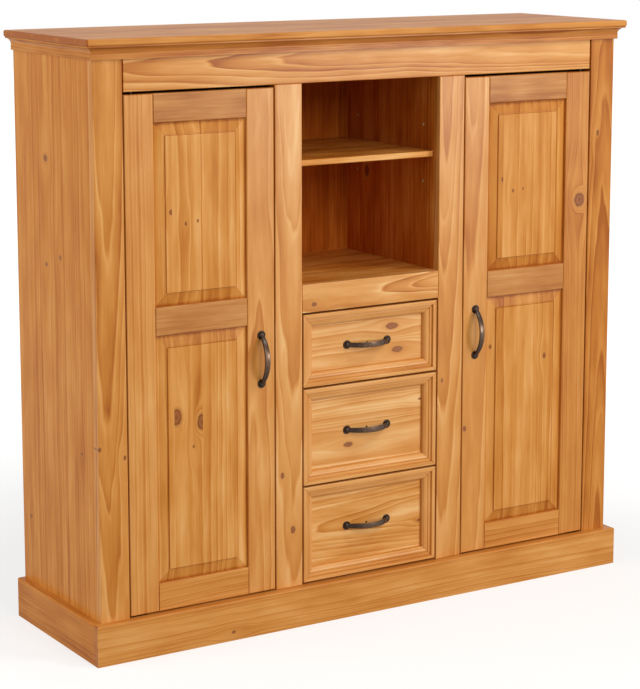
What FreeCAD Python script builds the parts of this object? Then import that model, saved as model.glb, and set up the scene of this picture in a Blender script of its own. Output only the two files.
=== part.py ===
import FreeCAD, Part
import os

# A free-standing highboard of solid pine: two framed doors with raised panels, an open niche with
# one shelf between them, three drawers below the niche, a cornice under the top and a plinth.
# Millimetres. Z is up, X runs along the front, the front faces -Y.
# The origin is on the floor, in the middle of the outline that the highboard takes up.

Vector = FreeCAD.Vector

# Whole carcass
overall_height = 1280.0
carcass_width = 1318.0
carcass_depth = 375.0
side_thickness = 18.0
partition_thickness = 18.0
bottom_thickness = 18.0
back_thickness = 4.0
back_rebate = 9.0

# Top panel and cornice
top_thickness = 14.0
top_overhang = 21.0
top_back_overhang = 4.0
top_edge_radius = 4.0
cornice_height = 28.0
cornice_foot_height = 9.0
cornice_foot_projection = 5.5
cornice_cove_projection = 16.7
cornice_lip_height = 3.0
cornice_lip_projection = 18.5
cornice_hollow_share = 0.27

# Plinth, with fingers hidden behind a lap at its front corners
plinth_height = 86.0
plinth_thickness = 18.0
plinth_edge_radius = 3.5
plinth_finger_count = 27
plinth_finger_lap = 4.0

# Face frame
frame_thickness = 20.0
stile_width = 65.5
top_rail_show = 66.0
top_rail_recess = 1.5
top_rail_end_gap = 2.5
bottom_rail_height = 66.0
frame_edge_radius = 1.5
tenon_length = 18.0
tenon_thickness = 8.0
tenon_shoulder = 9.0
tenon_clearance = 0.2

# Niche and shelves
niche_rail_height = 61.0
niche_floor_thickness = 18.0
shelf_thickness = 13.0
shelf_edge_radius = 2.0
shelf_side_clearance = 0.7
shelf_back_clearance = 3.0
niche_shelf_setback = 23.0
bay_shelf_setback = 50.0
niche_shelf_share = 0.585
bay_shelf_shares = (0.31, 0.65)
pin_radius = 2.5
pin_length = 18.0
pin_hole_depth = 9.0
pin_hole_clearance = 0.05
pin_groove_clearance = 0.4
pin_groove_play = 1.0
pin_above_shelf_bottom = 5.0
pin_front_offset = 62.0
pin_back_offset = 48.0
pin_row_pitch = 63.0

# Doors
door_side_gap = 3.0
door_top_gap = 5.5
door_bottom_gap = 3.0
door_stile_width = 65.0
door_rail_height = 59.0
door_middle_rail_share = 0.568
door_edge_radius = 2.0
panel_field_recess = 1.0
panel_step = 2.0
panel_quirk_width = 2.5
panel_quirk_depth = 0.8
panel_bevel_drop = 3.5
panel_bevel_width = 27.0
panel_tongue_thickness = 6.0
panel_groove_depth = 10.0
panel_play = 0.2
panel_edge_play = 0.6
panel_edge_radius = 1.0

# Pivot hinges at the top and the bottom of each door
pivot_swing_margin = 5.25
pivot_pin_radius = 3.0
pivot_pin_reach = 14.0
pivot_running_clearance = 0.05
pivot_plate_length = 40.0
pivot_plate_width = 12.0
pivot_plate_thickness = 2.0
pivot_bush_radius = 5.0
pivot_bush_depth = 18.0

# Magnetic catches behind the centre stiles
catch_height = 46.0
catch_depth = 13.0
catch_on_stile = 14.0
catch_behind_door = 14.0
catch_air = 0.3
catch_share = 0.75
strike_thickness = 1.2
strike_radius = 5.0

# Drawers
drawer_top_height = 158.0
drawer_lower_height = 211.0
drawer_gap = 4.5
drawer_side_gap = 3.6
drawer_front_thickness = 15.0
drawer_centre_hole_radius = 2.5
drawer_box_thickness = 12.0
drawer_box_side_clearance = 4.0
drawer_box_foot = 15.0
drawer_box_headroom = 20.0
drawer_box_back_clearance = 14.0
drawer_bottom_thickness = 4.0
drawer_bottom_rise = 8.0
drawer_bottom_tongue = 5.0
drawer_bottom_play = 0.3

# Wooden runners in grooves of the drawer sides
runner_height = 12.0
runner_engagement = 6.5
runner_play = 0.3
runner_front_air = 0.5
runner_back_clearance = 20.0

# Mitred moulding round each drawer front
moulding_width = 29.0
moulding_depth = 18.0
moulding_flat = 9.0
moulding_step_run = 1.0
moulding_first_step = 4.5
moulding_bead_width = 5.5
moulding_second_step = 2.0
moulding_edge_radius = 1.5
moulding_round_width_share = 0.707
moulding_round_depth_share = 0.293

# Cast bow handles
handle_spacing = 104.0
handle_projection = 29.0
handle_bow_thickness = 4.5
handle_bow_width = 12.4
handle_bow_end_width = 9.0
handle_end_thickness = 4.0
rosette_radius = 9.5
rosette_rim_height = 2.2
rosette_height = 4.5
rosette_boss_radius = 5.5
rosette_boss_height = 6.5
handle_screw_radius = 2.0
handle_screw_hole_clearance = 0.2
handle_thread_clearance = 0.03
handle_thread_depth = 3.5
screw_head_radius = 4.0
screw_head_height = 2.5
door_handle_share = 0.471

# Slack for cutting tools and for finding edges by their place
overrun = 5.0
place_tolerance = 0.001

# Places that follow from the sizes
half_width = carcass_width / 2
front_reach = max(handle_projection, top_overhang)
face = -(carcass_depth + top_back_overhang - front_reach) / 2
rear = face + carcass_depth
frame_back = face + frame_thickness
inner_back = rear - back_thickness
top_underside = overall_height - top_thickness
cornice_bottom = top_underside - cornice_height
rail_bottom = cornice_bottom - top_rail_show
opening_width = (carcass_width - 4 * stile_width) / 3
bay_left = -half_width + stile_width
bay_right = bay_left + opening_width
niche_left = -opening_width / 2
niche_right = opening_width / 2
side_inner = -half_width + side_thickness
partition_outer = niche_left - partition_thickness
drawer_heights = (drawer_lower_height, drawer_lower_height, drawer_top_height)
niche_rail_bottom = plinth_height + sum(drawer_heights) + (len(drawer_heights) + 1) * drawer_gap
niche_floor_top = niche_rail_bottom + niche_rail_height
pin_front = face + pin_front_offset
pin_back = rear - pin_back_offset
door_thickness = frame_thickness


def block(x0, x1, y0, y1, z0, z1):
    return Part.makeBox(x1 - x0, y1 - y0, z1 - z0, Vector(x0, y0, z0))


def rod(radius, start, axis, length):
    return Part.makeCylinder(radius, length, start, axis)


def edges_at(shape, **places):
    """Edges that lie wholly at the given x, y or z."""
    picked = []
    for edge in shape.Edges:
        box = edge.BoundBox
        spans = {"x": (box.XMin, box.XMax), "y": (box.YMin, box.YMax), "z": (box.ZMin, box.ZMax)}
        ends = [abs(end - place) for axis, place in places.items() for end in spans[axis]]
        if max(ends) < place_tolerance:
            picked.append(edge)
    return picked


def eased(shape, radius, **places):
    return shape.makeFillet(radius, edges_at(shape, **places))


def mirrored(shape):
    """The right-hand twin of a left-hand piece."""
    return shape.mirror(Vector(0, 0, 0), Vector(1, 0, 0))


def outline_face(points):
    """A flat face from corners in turn; a pair is an arc by way of its first point to its second."""
    edges = []
    here = points[0]
    for step in points[1:]:
        if isinstance(step, tuple):
            middle, there = step
            edges.append(Part.Arc(here, middle, there).toShape())
        else:
            there = step
            edges.append(Part.LineSegment(here, there).toShape())
        here = there
    if here.distanceToPoint(points[0]) > place_tolerance:
        edges.append(Part.LineSegment(here, points[0]).toShape())
    return Part.Face(Part.Wire(edges))


def save(name, *solids):
    shape = solids[0] if len(solids) == 1 else Part.makeCompound(list(solids))
    shape.exportStep("parts/" + name + ".step")


def save_pair(name, *left_solids):
    """Writes a left-hand node and its right-hand mirror image."""
    save(name.format(side="left"), *left_solids)
    save(name.format(side="right"), *[mirrored(solid) for solid in left_solids])


# Top panel
def top_panel():
    reach = half_width + top_overhang
    panel = block(-reach, reach, face - top_overhang, rear + top_back_overhang,
                  top_underside, overall_height)
    return panel.makeFillet(top_edge_radius, panel.Edges)


# Cornice: a foot, a hollow and a lip under the top, mitred at the front corners
def cornice_section():
    """Section in the YZ plane, standing on the face of the carcass."""
    foot_top = cornice_bottom + cornice_foot_height
    lip_bottom = top_underside - cornice_lip_height
    hollow_run = cornice_cove_projection - cornice_foot_projection
    hollow_rise = lip_bottom - foot_top
    hollow_out = cornice_foot_projection + hollow_run * cornice_hollow_share
    hollow_up = foot_top + hollow_rise * (1 - cornice_hollow_share)

    def at(projection, height):
        return Vector(0, face - projection, height)

    return outline_face([
        at(0, cornice_bottom),
        at(cornice_foot_projection, cornice_bottom),
        at(cornice_foot_projection, foot_top),
        (at(hollow_out, hollow_up), at(cornice_cove_projection, lip_bottom)),
        at(cornice_lip_projection, lip_bottom),
        at(cornice_lip_projection, top_underside),
        at(0, top_underside),
    ])


def cornice_front():
    reach = half_width + cornice_lip_projection
    section = cornice_section()
    section.translate(Vector(-reach, 0, 0))
    strip = section.extrude(Vector(2 * reach, 0, 0))
    plan = outline_face([
        Vector(-half_width, face, cornice_bottom),
        Vector(-reach, face - cornice_lip_projection, cornice_bottom),
        Vector(reach, face - cornice_lip_projection, cornice_bottom),
        Vector(half_width, face, cornice_bottom),
    ])
    return strip.common(plan.extrude(Vector(0, 0, cornice_height)))


def cornice_left():
    reach = half_width + cornice_lip_projection
    section = cornice_section()
    corner = Vector(0, face, 0)
    section.rotate(corner, Vector(0, 0, 1), -90)
    section.translate(Vector(-half_width, -cornice_lip_projection, 0))
    strip = section.extrude(Vector(0, cornice_lip_projection + carcass_depth, 0))
    plan = outline_face([
        Vector(-half_width, face, cornice_bottom),
        Vector(-reach, face - cornice_lip_projection, cornice_bottom),
        Vector(-reach, rear, cornice_bottom),
        Vector(-half_width, rear, cornice_bottom),
    ])
    return strip.common(plan.extrude(Vector(0, 0, cornice_height)))


# Plinth: the side boards run into the back of the front board with fingers behind a lap
def plinth_pieces():
    reach = half_width + plinth_thickness
    plinth_face = face - plinth_thickness
    front = block(-reach, reach, plinth_face, face, 0, plinth_height)
    side = block(-reach, -half_width, face, rear, 0, plinth_height)
    whole = front.fuse([side, mirrored(side)]).removeSplitter()
    outer_top = edges_at(whole, y=plinth_face, z=plinth_height)
    outer_top += edges_at(whole, x=-reach, z=plinth_height)
    outer_top += edges_at(whole, x=reach, z=plinth_height)
    whole = whole.makeFillet(plinth_edge_radius, outer_top)
    pitch = plinth_height / plinth_finger_count
    side_zone = [block(-reach - overrun, -half_width, face, rear + overrun, 0, plinth_height)]
    for finger in range(1, plinth_finger_count, 2):
        side_zone.append(block(-reach - overrun, -half_width, plinth_face + plinth_finger_lap, face,
                               finger * pitch, (finger + 1) * pitch))
    left_zone = side_zone[0].fuse(side_zone[1:]).removeSplitter()
    left = whole.common(left_zone)
    board = whole.cut([left_zone, mirrored(left_zone)])
    return board, left


# Shelf pins, their holes and the shelves that hang on them
niche_height = rail_bottom - niche_floor_top
bay_height = top_underside - plinth_height
niche_shelf_bottom = niche_floor_top + niche_height * niche_shelf_share
bay_shelf_bottoms = [plinth_height + bay_height * share for share in bay_shelf_shares]


def pin_holes(wall, outward, shelf_bottoms):
    """Three rows of blind holes for each shelf, in a wall whose face is at x = wall."""
    holes = []
    for bottom in shelf_bottoms:
        for row in (-1, 0, 1):
            height = bottom + pin_above_shelf_bottom + row * pin_row_pitch
            for depth in (pin_front, pin_back):
                mouth = Vector(wall + outward * overrun, depth, height)
                reach = pin_hole_depth + pin_hole_clearance + overrun
                holes.append(rod(pin_radius + pin_hole_clearance, mouth, Vector(-outward, 0, 0), reach))
    return holes


def pins_for(wall, outward, shelf_bottoms):
    pins = []
    for bottom in shelf_bottoms:
        for depth in (pin_front, pin_back):
            start = Vector(wall - outward * pin_hole_depth, depth, bottom + pin_above_shelf_bottom)
            pins.append(rod(pin_radius, start, Vector(outward, 0, 0), pin_length))
    return pins


def shelf(x0, x1, setback, bottom):
    """A board whose ends are grooved from the back, so that it slides over its pins and hides them."""
    left = x0 + shelf_side_clearance
    right = x1 - shelf_side_clearance
    front = face + setback
    back = inner_back - shelf_back_clearance
    board = block(left, right, front, back, bottom, bottom + shelf_thickness)
    board = eased(board, shelf_edge_radius, y=front)
    groove_depth = pin_length - pin_hole_depth + pin_groove_play
    groove_top = bottom + pin_above_shelf_bottom + pin_radius
    groove_bottom = groove_top - 2 * pin_radius - pin_groove_clearance
    groove_front = pin_front - pin_radius - pin_groove_play
    left_groove = block(x0 - overrun, x0 + groove_depth, groove_front, back + overrun,
                        groove_bottom, groove_top)
    right_groove = block(x1 - groove_depth, x1 + overrun, groove_front, back + overrun,
                         groove_bottom, groove_top)
    return board.cut([left_groove, right_groove])


# Carcass boards
def side_panel_left():
    panel = block(-half_width, side_inner, frame_back, rear, 0, top_underside)
    rebate = block(side_inner - back_rebate, side_inner + overrun, inner_back, rear + overrun,
                   plinth_height - bottom_thickness, top_underside + overrun)
    return panel.cut([rebate] + pin_holes(side_inner, 1, bay_shelf_bottoms))


def partition_left():
    panel = block(partition_outer, niche_left, frame_back, inner_back, plinth_height, top_underside)
    holes = pin_holes(partition_outer, -1, bay_shelf_bottoms)
    holes += pin_holes(niche_left, 1, [niche_shelf_bottom])
    return panel.cut(holes)


def bottom_panel():
    return block(side_inner, -side_inner, frame_back, inner_back,
                 plinth_height - bottom_thickness, plinth_height)


def back_panel():
    reach = -side_inner + back_rebate
    return block(-reach, reach, inner_back, rear, plinth_height - bottom_thickness, top_underside)


# Face frame: tenoned rails between stiles
def tenon(shoulder_x, direction, y0, z0, z1, gap):
    """A tenon that leaves a rail end at shoulder_x, crosses a gap and enters a stile."""
    tip = shoulder_x + direction * (tenon_length + gap)
    return block(min(shoulder_x, tip), max(shoulder_x, tip), y0, y0 + tenon_thickness, z0, z1)


def mortise(shoulder_x, direction, y0, z0, z1, gap):
    room = tenon_clearance
    tip = shoulder_x + direction * (tenon_length + gap + room)
    return block(min(shoulder_x, tip), max(shoulder_x, tip), y0 - room, y0 + tenon_thickness + room,
                 z0 - room, z1 + room)


tenon_front = face + (frame_thickness - tenon_thickness) / 2
top_tenon = (tenon_front, rail_bottom + tenon_shoulder, top_underside - tenon_shoulder)
bottom_rail_foot = plinth_height - bottom_rail_height
bottom_tenon = (tenon_front, bottom_rail_foot + tenon_shoulder, plinth_height - tenon_shoulder)
niche_tenon = (tenon_front, niche_rail_bottom + tenon_shoulder, niche_floor_top - tenon_shoulder)


def frame_stile_left():
    stile = block(-half_width, bay_left, face, frame_back, 0, top_underside)
    stile = eased(stile, frame_edge_radius, y=face)
    top_slot = mortise(bay_left + top_rail_end_gap, -1, *top_tenon, top_rail_end_gap)
    bottom_slot = mortise(bay_left, -1, *bottom_tenon, 0)
    return stile.cut([top_slot, bottom_slot])


def centre_stile_left():
    stile = block(bay_right, niche_left, face, frame_back, plinth_height, rail_bottom)
    stile = eased(stile, frame_edge_radius, y=face)
    return stile.cut(mortise(niche_left, -1, *niche_tenon, 0))


def frame_top_rail():
    left = bay_left + top_rail_end_gap
    rail_face = face + top_rail_recess
    rail = block(left, -left, rail_face, frame_back, rail_bottom, top_underside)
    rail = eased(rail, frame_edge_radius, y=rail_face)
    end = tenon(left, -1, *top_tenon, top_rail_end_gap)
    rail = rail.fuse([end, mirrored(end)]).removeSplitter()
    seat = pivot_seat(rail_bottom, 1)
    return rail.cut([seat, mirrored(seat)])


def frame_bottom_rail():
    rail = block(bay_left, -bay_left, face, frame_back, bottom_rail_foot, plinth_height)
    end = tenon(bay_left, -1, *bottom_tenon, 0)
    rail = rail.fuse([end, mirrored(end)]).removeSplitter()
    seat = pivot_seat(plinth_height, -1)
    return rail.cut([seat, mirrored(seat)])


def niche_rail():
    rail = block(niche_left, niche_right, face, frame_back, niche_rail_bottom, niche_floor_top)
    rail = eased(rail, frame_edge_radius, y=face)
    end = tenon(niche_left, -1, *niche_tenon, 0)
    return rail.fuse([end, mirrored(end)]).removeSplitter()


def niche_floor():
    return block(niche_left, niche_right, frame_back, inner_back,
                 niche_floor_top - niche_floor_thickness, niche_floor_top)


# Pivot hinges: a plate with a pin in the frame, a bush in the end of the door's hinge stile.
# The pivot stands so far in that the corners of the hinge edge swing clear of the frame.
door_left_edge = bay_left + door_side_gap
door_right_edge = bay_right - door_side_gap
door_bottom = plinth_height + door_bottom_gap
door_top = rail_bottom - door_top_gap
door_height = door_top - door_bottom
pivot_back = door_thickness / 2
pivot_inset = (pivot_back ** 2 - door_side_gap ** 2) / (2 * door_side_gap) + pivot_swing_margin
pivot_x = door_left_edge + pivot_inset
pivot_y = face + pivot_back


def pivot_seat(surface, inward):
    """The recess that sinks a pivot plate flush into a rail."""
    deep = surface + inward * pivot_plate_thickness
    proud = surface - inward * overrun
    return block(pivot_x - pivot_plate_length / 2, pivot_x + pivot_plate_length / 2,
                 pivot_y - pivot_plate_width / 2, pivot_y + pivot_plate_width / 2,
                 min(deep, proud), max(deep, proud))


def pivot_plate(surface, inward, door_edge):
    """A plate in the rail with its pin, which reaches into the door."""
    deep = surface + inward * pivot_plate_thickness
    plate = block(pivot_x - pivot_plate_length / 2, pivot_x + pivot_plate_length / 2,
                  pivot_y - pivot_plate_width / 2, pivot_y + pivot_plate_width / 2,
                  min(deep, surface), max(deep, surface))
    reach = abs(surface - door_edge) + pivot_pin_reach
    pin = rod(pivot_pin_radius, Vector(pivot_x, pivot_y, surface), Vector(0, 0, -inward), reach)
    return plate.fuse(pin).removeSplitter()


def pivot_bush(door_edge, inward):
    """A cup sunk into the end of the hinge stile, open towards the pin."""
    start = Vector(pivot_x, pivot_y, door_edge)
    axis = Vector(0, 0, inward)
    cup = rod(pivot_bush_radius, start, axis, pivot_bush_depth)
    bore_depth = (pivot_pin_reach + pivot_bush_depth) / 2
    return cup.cut(rod(pivot_pin_radius + pivot_running_clearance, start, axis, bore_depth))


# Doors: stiles and rails with a groove that holds two raised panels
panel_left = door_left_edge + door_stile_width
panel_right = door_right_edge - door_stile_width
middle_rail_bottom = door_bottom + door_height * door_middle_rail_share - door_rail_height / 2
middle_rail_top = middle_rail_bottom + door_rail_height
groove_front = face + panel_field_recess + panel_step + panel_bevel_drop
groove_back = groove_front + panel_tongue_thickness + panel_play
handle_x = door_right_edge - door_stile_width / 2
door_handle_z = door_bottom + door_height * door_handle_share
strike_z = door_bottom + door_height * catch_share
strike_x = door_right_edge - catch_behind_door / 2


def groove_block(x0, x1, z0, z1):
    return block(x0, x1, groove_front, groove_back, z0, z1)


def door_hinge_stile():
    stile = block(door_left_edge, panel_left, face, frame_back, door_bottom, door_top)
    stile = eased(stile, door_edge_radius, y=face)
    groove = groove_block(panel_left - panel_groove_depth, panel_left + overrun,
                          door_bottom - overrun, door_top + overrun)
    cuts = [groove]
    for edge, inward in ((door_bottom, 1), (door_top, -1)):
        end = Vector(pivot_x, pivot_y, edge)
        cuts.append(rod(pivot_bush_radius, end, Vector(0, 0, inward), pivot_bush_depth))
    return stile.cut(cuts)


def screw_holes(center, along, depth):
    holes = []
    for end in (-1, 1):
        start = center + along * (end * handle_spacing / 2) - Vector(0, overrun, 0)
        holes.append(rod(handle_screw_radius + handle_screw_hole_clearance, start, Vector(0, 1, 0),
                         depth + 2 * overrun))
    return holes


def door_lock_stile():
    stile = block(panel_right, door_right_edge, face, frame_back, door_bottom, door_top)
    stile = eased(stile, door_edge_radius, y=face)
    groove = groove_block(panel_right - overrun, panel_right + panel_groove_depth,
                          door_bottom - overrun, door_top + overrun)
    holes = screw_holes(Vector(handle_x, face, door_handle_z), Vector(0, 0, 1), door_thickness)
    return stile.cut([groove, door_strike()] + holes)


def door_strike():
    """The disc that the catch holds, sunk flush into the back of the lock stile."""
    return rod(strike_radius, Vector(strike_x, frame_back, strike_z), Vector(0, -1, 0), strike_thickness)


def door_rail(bottom, grooves_above, grooves_below):
    top = bottom + door_rail_height
    rail = block(panel_left, panel_right, face, frame_back, bottom, top)
    rail = eased(rail, door_edge_radius, y=face)
    tongue = panel_groove_depth - panel_edge_play
    rail = rail.fuse(groove_block(panel_left - tongue, panel_right + tongue, bottom, top)).removeSplitter()
    far_left = panel_left - panel_groove_depth - overrun
    far_right = panel_right + panel_groove_depth + overrun
    cuts = []
    if grooves_above:
        cuts.append(groove_block(far_left, far_right, top - panel_groove_depth, top + overrun))
    if grooves_below:
        cuts.append(groove_block(far_left, far_right, bottom - overrun, bottom + panel_groove_depth))
    return rail.cut(cuts)


def rectangle(x0, x1, z0, z1, y):
    corners = [(x0, z0), (x1, z0), (x1, z1), (x0, z1), (x0, z0)]
    return Part.makePolygon([Vector(x, y, z) for x, z in corners])


def raised_panel(z0, z1):
    """A panel for the opening from z0 to z1: a tongue, a sloping border, a quirk and a raised field."""
    reach = panel_groove_depth - panel_edge_play
    tongue_front = groove_front + panel_play / 2
    tongue_back = tongue_front + panel_tongue_thickness
    tongue = block(panel_left - reach, panel_right + reach, tongue_front, tongue_back, z0 - reach, z1 + reach)
    inset = panel_bevel_width
    rim = inset - panel_quirk_width
    border_top = face + panel_field_recess + panel_step
    quirk_floor = border_top + panel_quirk_depth
    play = panel_play
    border = Part.makeLoft([
        rectangle(panel_left + play, panel_right - play, z0 + play, z1 - play, tongue_front),
        rectangle(panel_left + rim, panel_right - rim, z0 + rim, z1 - rim, border_top),
    ], True, True)
    quirk = block(panel_left + rim, panel_right - rim, face, quirk_floor, z0 + rim, z1 - rim)
    field_face = face + panel_field_recess
    field = block(panel_left + inset, panel_right - inset, field_face, tongue_front, z0 + inset, z1 - inset)
    field = eased(field, panel_edge_radius, y=field_face)
    return tongue.fuse([border.cut(quirk), field]).removeSplitter()


# Bow handle: two rosettes and a flat bow cast in one, with a screw into each rosette
def handle_at(center, along_x, wall):
    """A handle on a wall of the given thickness; center is on the wall's outer face."""
    half = handle_spacing / 2
    foot = handle_end_thickness / 2
    low = rosette_rim_height
    arch = outline_face([
        Vector(0, -low, -half - foot),
        (Vector(0, -handle_projection, 0), Vector(0, -low, half + foot)),
        Vector(0, -low, half - foot),
        (Vector(0, handle_bow_thickness - handle_projection, 0), Vector(0, -low, foot - half)),
    ])
    arch.translate(Vector(-handle_bow_width / 2, 0, 0))
    bow = arch.extrude(Vector(handle_bow_width, 0, 0))
    wide = handle_bow_width / 2
    narrow = handle_bow_end_width / 2
    plan = outline_face([
        Vector(-narrow, 0, -half - foot),
        Vector(narrow, 0, -half - foot),
        (Vector(wide, 0, 0), Vector(narrow, 0, half + foot)),
        Vector(-narrow, 0, half + foot),
        (Vector(-wide, 0, 0), Vector(-narrow, 0, -half - foot)),
    ])
    bow = bow.common(plan.extrude(Vector(0, -handle_projection - overrun, 0)))
    dome_rise = rosette_height - rosette_rim_height
    dome_radius = (rosette_radius ** 2 + dome_rise ** 2) / (2 * dome_rise)
    rosettes = []
    threads = []
    screws = []
    for end in (-1, 1):
        base = Vector(0, 0, end * half)
        rim = rod(rosette_radius, base, Vector(0, -1, 0), rosette_height)
        ball = Part.makeSphere(dome_radius, base + Vector(0, dome_radius - rosette_height, 0))
        rosettes.append(rim.common(ball))
        rosettes.append(rod(rosette_boss_radius, base, Vector(0, -1, 0), rosette_boss_height))
        threads.append(rod(handle_screw_radius + handle_thread_clearance, base, Vector(0, -1, 0),
                           handle_thread_depth + handle_thread_clearance))
        under_head = base + Vector(0, wall, 0)
        shank = rod(handle_screw_radius, under_head, Vector(0, -1, 0), wall + handle_thread_depth)
        head = rod(screw_head_radius, under_head, Vector(0, 1, 0), screw_head_height)
        screws.append(shank.fuse(head).removeSplitter())
    casting = bow.fuse(rosettes).removeSplitter().cut(threads)
    solids = [casting] + screws
    for solid in solids:
        if along_x:
            solid.rotate(Vector(0, 0, 0), Vector(0, 1, 0), 90)
        solid.translate(center)
    return solids


def door_catch():
    """A magnet housing on the back of the centre stile; its nose lies just behind the closed door."""
    low = strike_z - catch_height / 2
    high = strike_z + catch_height / 2
    body = block(bay_right, bay_right + catch_on_stile, frame_back, frame_back + catch_depth, low, high)
    nose = block(door_right_edge - catch_behind_door, bay_right, frame_back + catch_air,
                 frame_back + catch_depth, low, high)
    return body.fuse(nose).removeSplitter()


# Drawers
drawer_left = niche_left + drawer_side_gap
drawer_right = -drawer_left
drawer_front_back = face + moulding_depth + drawer_front_thickness
box_left = niche_left + drawer_box_side_clearance
box_back = inner_back - drawer_box_back_clearance


def moulding_section():
    """Section across the moulding in the YZ plane: Z is the way in from the edge, Y is the depth."""
    bead_start = moulding_flat + moulding_step_run
    bead_end = bead_start + moulding_bead_width
    round_start = bead_end + moulding_step_run
    round_depth = moulding_first_step + moulding_second_step
    round_run = moulding_width - round_start
    round_drop = moulding_depth - round_depth
    round_middle = Vector(0, round_depth + round_drop * moulding_round_depth_share,
                          round_start + round_run * moulding_round_width_share)
    edge = moulding_edge_radius
    edge_middle = Vector(0, edge * moulding_round_depth_share, edge * moulding_round_depth_share)
    return outline_face([
        Vector(0, moulding_depth, 0),
        Vector(0, edge, 0),
        (edge_middle, Vector(0, 0, edge)),
        Vector(0, 0, moulding_flat),
        Vector(0, moulding_first_step, bead_start),
        Vector(0, moulding_first_step, bead_end),
        Vector(0, round_depth, round_start),
        (round_middle, Vector(0, moulding_depth, moulding_width)),
    ])


def moulding_strip(length):
    """A strip along X from the origin, mitred inwards at both ends."""
    strip = moulding_section().extrude(Vector(length, 0, 0))
    plan = outline_face([
        Vector(0, 0, 0),
        Vector(length, 0, 0),
        Vector(length - moulding_width, 0, moulding_width),
        Vector(moulding_width, 0, moulding_width),
    ])
    return strip.common(plan.extrude(Vector(0, moulding_depth, 0)))


def drawer_moulding(bottom, height):
    """Four strips round the edge of a drawer front: bottom, right, top, left."""
    width = drawer_right - drawer_left
    corners = [(drawer_left, bottom, 0, width), (drawer_right, bottom, -90, height),
               (drawer_right, bottom + height, 180, width), (drawer_left, bottom + height, 90, height)]
    strips = []
    for x, z, turn, length in corners:
        strip = moulding_strip(length)
        strip.rotate(Vector(0, 0, 0), Vector(0, 1, 0), turn)
        strip.translate(Vector(x, face, z))
        strips.append(strip)
    return strips


def runner_place(bottom, height):
    """Height of the underside of a drawer's runners: half way up the drawer side."""
    low = bottom + drawer_box_foot
    high = bottom + height - drawer_box_headroom
    return (low + high - runner_height) / 2


def drawer_runner(bottom, height):
    low = runner_place(bottom, height)
    reach = drawer_box_side_clearance + runner_engagement
    return block(niche_left, niche_left + reach, drawer_front_back + runner_front_air,
                 inner_back - runner_back_clearance, low, low + runner_height)


def drawer_bottom_plate(bottom, play):
    """The plywood bottom with its tongues; play widens it into the grooves that hold it."""
    reach = drawer_bottom_tongue + play
    inside = box_left + drawer_box_thickness
    low = bottom + drawer_box_foot + drawer_bottom_rise
    return block(inside - reach, -inside + reach, drawer_front_back - reach,
                 box_back - drawer_box_thickness + reach, low - play, low + drawer_bottom_thickness + play)


def drawer_front(bottom, height):
    """A board drilled for the handle's screws, with a small open hole half way between them."""
    panel_face = face + moulding_depth
    board = block(drawer_left, drawer_right, panel_face, drawer_front_back, bottom, bottom + height)
    center = Vector(0, panel_face, bottom + height / 2)
    holes = screw_holes(center, Vector(1, 0, 0), drawer_front_thickness)
    mouth = center - Vector(0, overrun, 0)
    holes.append(rod(drawer_centre_hole_radius, mouth, Vector(0, 1, 0), drawer_front_thickness + 2 * overrun))
    return board.cut(holes + [drawer_bottom_plate(bottom, drawer_bottom_play)])


def drawer_box(bottom, height):
    """Two grooved sides and a back."""
    low = bottom + drawer_box_foot
    high = bottom + height - drawer_box_headroom
    side = block(box_left, box_left + drawer_box_thickness, drawer_front_back, box_back, low, high)
    runner_low = runner_place(bottom, height)
    groove = block(box_left - overrun, box_left + runner_engagement + runner_play,
                   drawer_front_back - overrun, box_back + overrun,
                   runner_low - runner_play, runner_low + runner_height + runner_play)
    plate_room = drawer_bottom_plate(bottom, drawer_bottom_play)
    side = side.cut([groove, plate_room])
    back = block(box_left + drawer_box_thickness, -box_left - drawer_box_thickness,
                 box_back - drawer_box_thickness, box_back, low, high)
    return [side, mirrored(side), back.cut(plate_room)]


os.makedirs("parts", exist_ok=True)

# Carcass, cornice and plinth
save("top_panel", top_panel())
save("cornice_front", cornice_front())
save_pair("cornice_{side}", cornice_left())
plinth_board, plinth_side = plinth_pieces()
save("plinth_front", plinth_board)
save_pair("plinth_{side}", plinth_side)
save_pair("side_panel_{side}", side_panel_left())
save_pair("partition_{side}", partition_left())
save("bottom_panel", bottom_panel())
save("back_panel", back_panel())

# Face frame and niche
save_pair("frame_stile_{side}", frame_stile_left())
save_pair("centre_stile_{side}", centre_stile_left())
save("frame_top_rail", frame_top_rail())
save("frame_bottom_rail", frame_bottom_rail())
save("niche_rail", niche_rail())
save("niche_floor", niche_floor())
save("niche_shelf", shelf(niche_left, niche_right, niche_shelf_setback, niche_shelf_bottom))

# Shelves behind the doors, with the pins of all shelves
bay_shelves = []
for bottom in bay_shelf_bottoms:
    bay_shelves.append(shelf(side_inner, partition_outer, bay_shelf_setback, bottom))
save("bay_shelves", *bay_shelves, *[mirrored(board) for board in bay_shelves])
left_pins = pins_for(niche_left, 1, [niche_shelf_bottom])
left_pins += pins_for(partition_outer, -1, bay_shelf_bottoms)
left_pins += pins_for(side_inner, 1, bay_shelf_bottoms)
save("shelf_pins", *left_pins, *[mirrored(pin) for pin in left_pins])

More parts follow.
